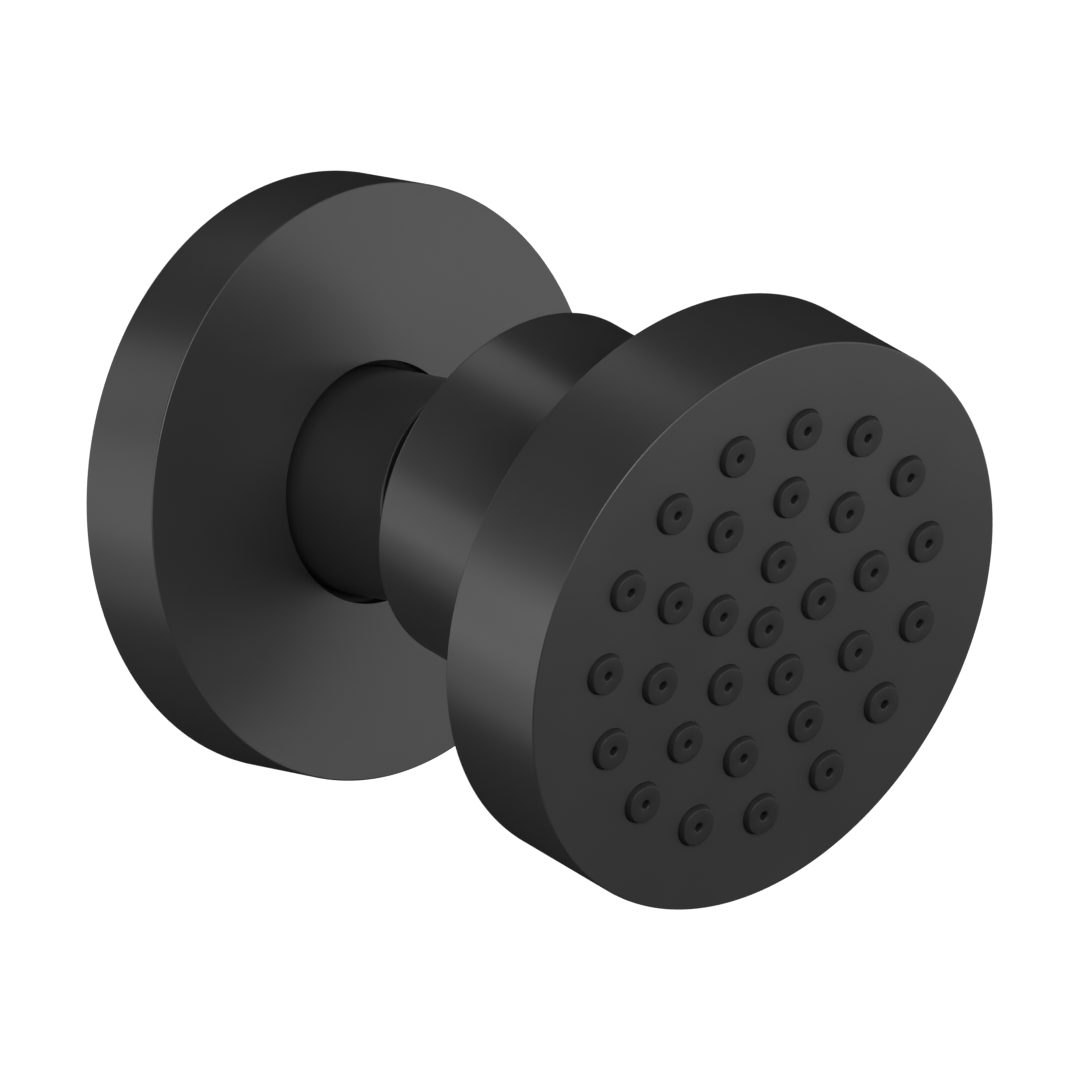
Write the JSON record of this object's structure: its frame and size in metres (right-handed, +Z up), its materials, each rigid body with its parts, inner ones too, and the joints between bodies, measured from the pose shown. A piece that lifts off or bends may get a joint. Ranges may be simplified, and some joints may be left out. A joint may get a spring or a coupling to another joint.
{
  "type": "shower body jet",
  "caption": "Round wall-mounted shower body jet: hollow cover flange, short neck, ball joint under a round collar, and a thick flat disc head with soft nozzles in rings.",
  "frame": {"origin": "centre of the inlet's mouth, in the plane of the wall", "axes": "+Y into the wall along the inlet's axis, -Y out into the shower, +Z up, +X to the right seen from the shower"},
  "size_m": [0.06, 0.0736, 0.0661],
  "materials": {
    "matte_black_metal": "satin black coating, fine even grain",
    "black_chrome": "polished black plating",
    "steel": "bright stainless",
    "black_rubber": "smooth moulded rubber",
    "grey_foam": "closed-cell foam",
    "white_plastic": "slippery acetal",
    "green_plastic": "moulded, flow-rate colour",
    "dark_plastic": "moulded",
    "black_silicone": "dull soft silicone"
  },
  "bodies": {
    "wall_side": {"neck": "matte_black_metal", "inlet_washer": "black_rubber", "filter_screen": "steel"},
    "grip_ring": {"flange_grip_ring": "black_rubber"},
    "flange": {"wall_flange": "matte_black_metal", "wall_seal": "grey_foam"},
    "stud": {"ball_stud": "black_chrome", "stud_slip_washer": "white_plastic", "stud_ring": "black_rubber", "retaining_clip": "steel", "flow_regulator": "green_plastic", "regulator_ring": "black_rubber"},
    "seat": {"ball_seat": "white_plastic"},
    "head": {"collar_nut": "matte_black_metal", "ball_seal": "black_rubber", "seal_backing": "steel", "head_back": "matte_black_metal", "head_back_ring": "black_rubber", "head_shell": "matte_black_metal", "nozzle_mat": "black_silicone", "mat_plate": "dark_plastic", "plate_screws": "steel"}
  },
  "joints": [
    {"name": "flange_slide", "type": "slide", "parent": "wall_side", "child": "grip_ring", "axis": [0, -1, 0], "range_m": [0, 0.012]},
    {"name": "flange_turn", "type": "hinge", "parent": "grip_ring", "child": "flange", "pos_m": [0, 0, 0], "axis": [0, -1, 0], "continuous": true},
    {"name": "head_swivel", "type": "hinge", "parent": "wall_side", "child": "stud", "pos_m": [0, -0.0392, 0], "axis": [0, -1, 0], "continuous": true},
    {"name": "head_tilt", "type": "hinge", "parent": "stud", "child": "seat", "pos_m": [0, -0.0392, 0], "axis": [-1, 0, 0], "range_deg": [-5, 35]},
    {"name": "head_spin", "type": "hinge", "parent": "seat", "child": "head", "pos_m": [0, -0.0392, 0], "axis": [0, -0.9659, -0.2588], "continuous": true}
  ]
}
